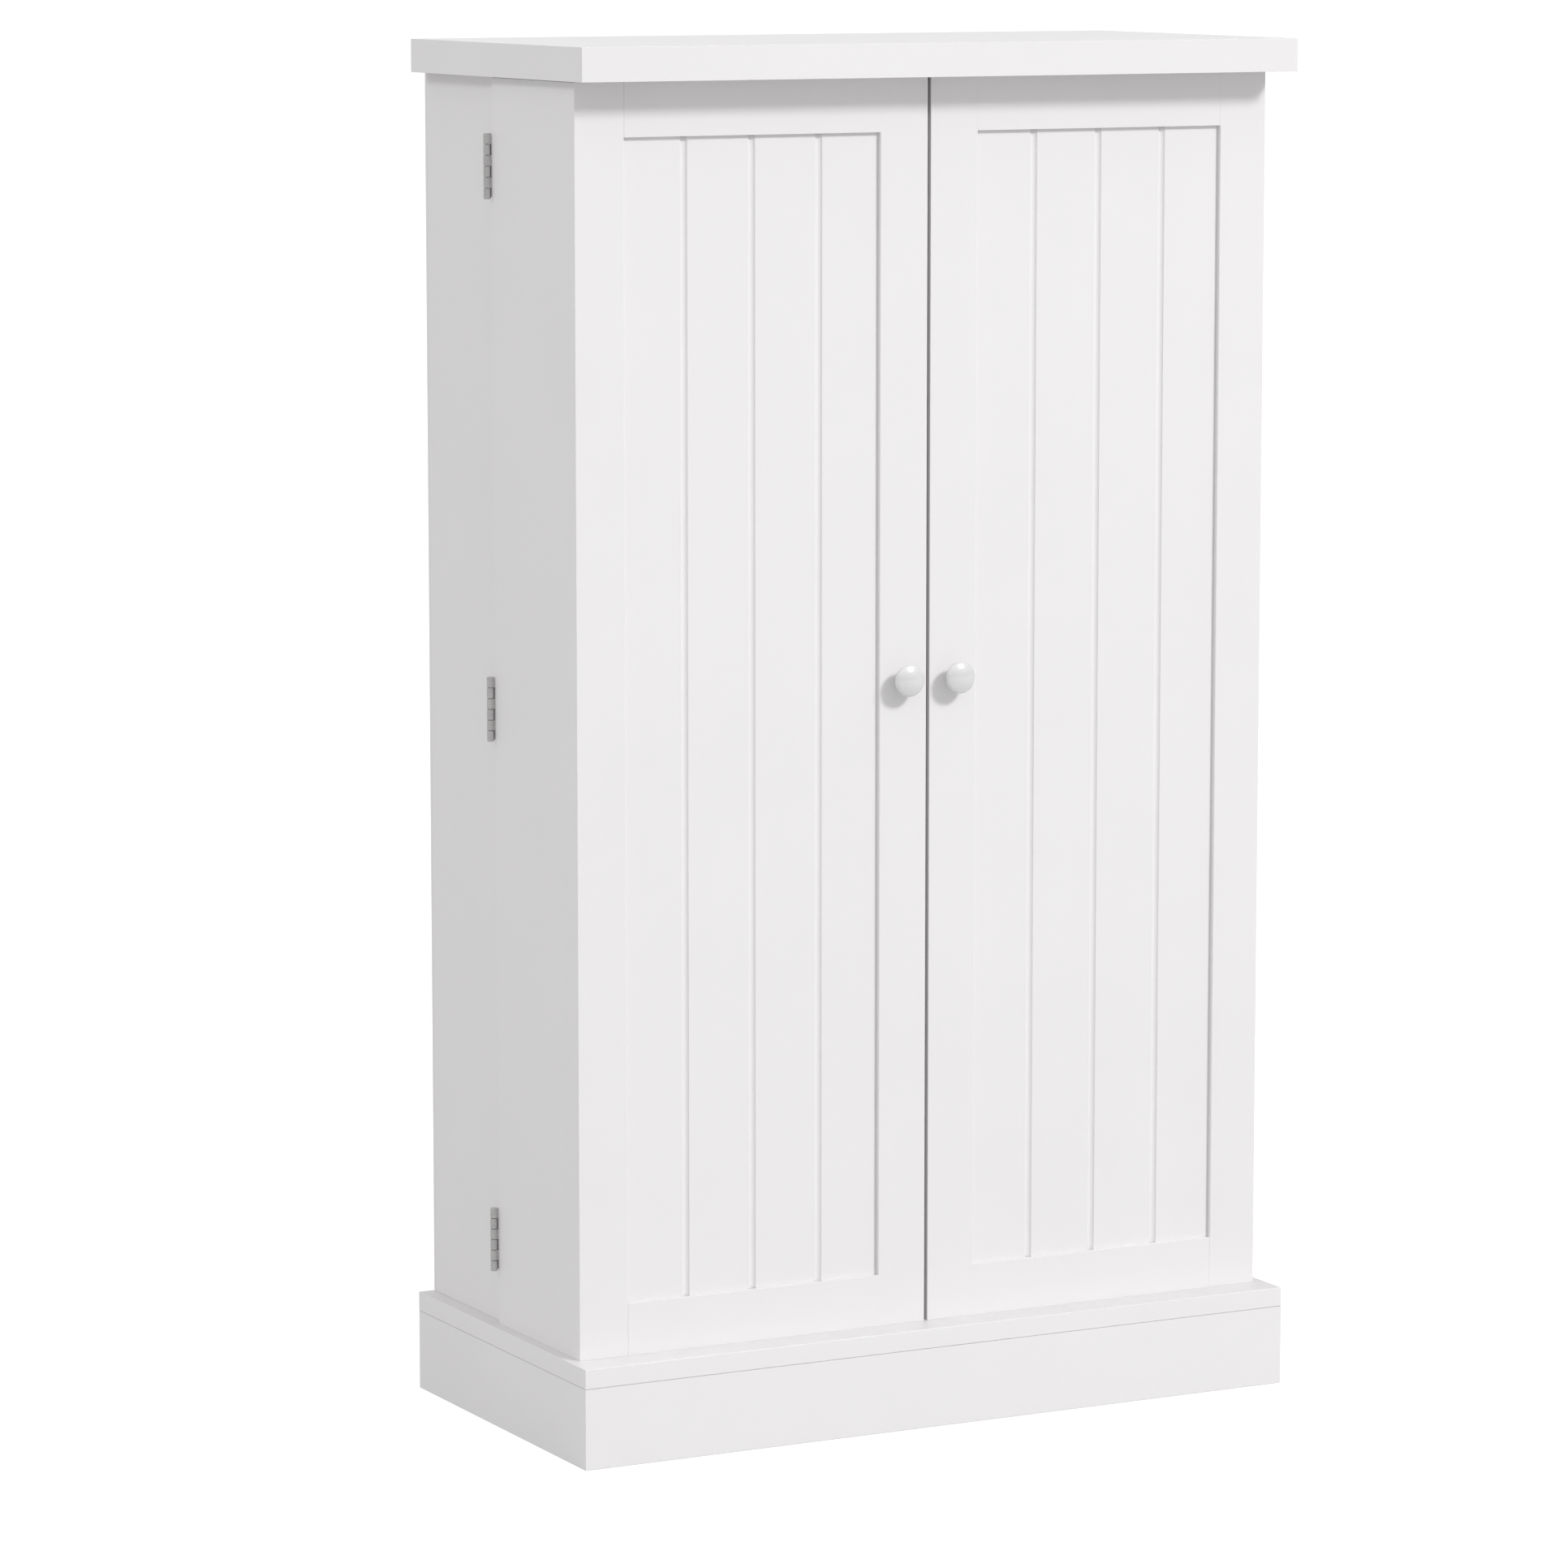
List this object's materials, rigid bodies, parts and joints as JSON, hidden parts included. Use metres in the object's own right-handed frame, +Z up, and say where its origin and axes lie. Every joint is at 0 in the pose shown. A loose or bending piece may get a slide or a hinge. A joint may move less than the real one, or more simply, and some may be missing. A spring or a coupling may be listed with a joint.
{
  "type": "pantry cabinet",
  "caption": "Tall free-standing pantry cabinet with a slab top, a plinth and deep grooved double doors that carry storage racks.",
  "frame": {"origin": "on the floor, at the bottom centre of the whole cabinet's box", "axes": "+Z up, the doors face -Y, +X to the right of someone facing the doors"},
  "size_m": [0.6, 0.3, 1.04],
  "materials": {
    "white_board": "satin white paint",
    "white_door": "satin white paint",
    "back_board": "hardboard, white on its inner face",
    "pine": "sawn softwood",
    "zinc_steel": "zinc plated",
    "hinge_steel": "brushed nickel plate",
    "knob_enamel": "gloss white enamel",
    "catch_plastic": "moulded",
    "cam_zinc": "die cast, dull"
  },
  "bodies": {
    "carcass": {"top_board": "white_board", "base_board": "white_board", "plinth_front": "white_board", "plinth_back": "white_board", "plinth_left": "white_board", "plinth_right": "white_board", "plinth_blocks": "pine", "carcass_side_left": "white_board", "carcass_side_right": "white_board", "back_panel": "back_board", "back_panel_screws": "zinc_steel", "shelf_1": "white_board", "shelf_2": "white_board", "shelf_3": "white_board", "shelf_4": "white_board", "shelf_pins": "zinc_steel", "cam_fittings": "cam_zinc", "frame_hinge_leaves": "hinge_steel", "hinge_pins": "hinge_steel", "wood_screws": "zinc_steel", "magnet_catch": "catch_plastic", "wall_brackets": "zinc_steel"},
    "door_left": {"door_left_stile_outer": "white_door", "door_left_stile_inner": "white_door", "door_left_rail_top": "white_door", "door_left_rail_bottom": "white_door", "door_left_panel": "white_door", "door_left_side_outer": "white_door", "door_left_side_inner": "white_door", "door_left_box_top": "white_door", "door_left_box_bottom": "white_door", "door_left_rack_shelf_1": "white_door", "door_left_rack_shelf_2": "white_door", "door_left_rack_shelf_3": "white_door", "door_left_rack_shelf_4": "white_door", "door_left_rack_bars": "white_door", "door_left_knob": "knob_enamel", "door_left_knob_screw": "zinc_steel", "door_left_strike_plate": "zinc_steel", "door_left_hinge_leaves": "hinge_steel", "door_left_screws": "zinc_steel"},
    "door_right": {"door_right_stile_outer": "white_door", "door_right_stile_inner": "white_door", "door_right_rail_top": "white_door", "door_right_rail_bottom": "white_door", "door_right_panel": "white_door", "door_right_side_outer": "white_door", "door_right_side_inner": "white_door", "door_right_box_top": "white_door", "door_right_box_bottom": "white_door", "door_right_rack_shelf_1": "white_door", "door_right_rack_shelf_2": "white_door", "door_right_rack_shelf_3": "white_door", "door_right_rack_shelf_4": "white_door", "door_right_rack_bars": "white_door", "door_right_knob": "knob_enamel", "door_right_knob_screw": "zinc_steel", "door_right_strike_plate": "zinc_steel", "door_right_hinge_leaves": "hinge_steel", "door_right_screws": "zinc_steel"}
  },
  "joints": [
    {"name": "door_left_hinge", "type": "hinge", "parent": "carcass", "child": "door_left", "pos_m": [-0.2943, 0.0239, 0.545], "axis": [0, 0, -1], "range_deg": [0, 150]},
    {"name": "door_right_hinge", "type": "hinge", "parent": "carcass", "child": "door_right", "pos_m": [0.2943, 0.0239, 0.545], "axis": [0, 0, 1], "range_deg": [0, 150]}
  ]
}
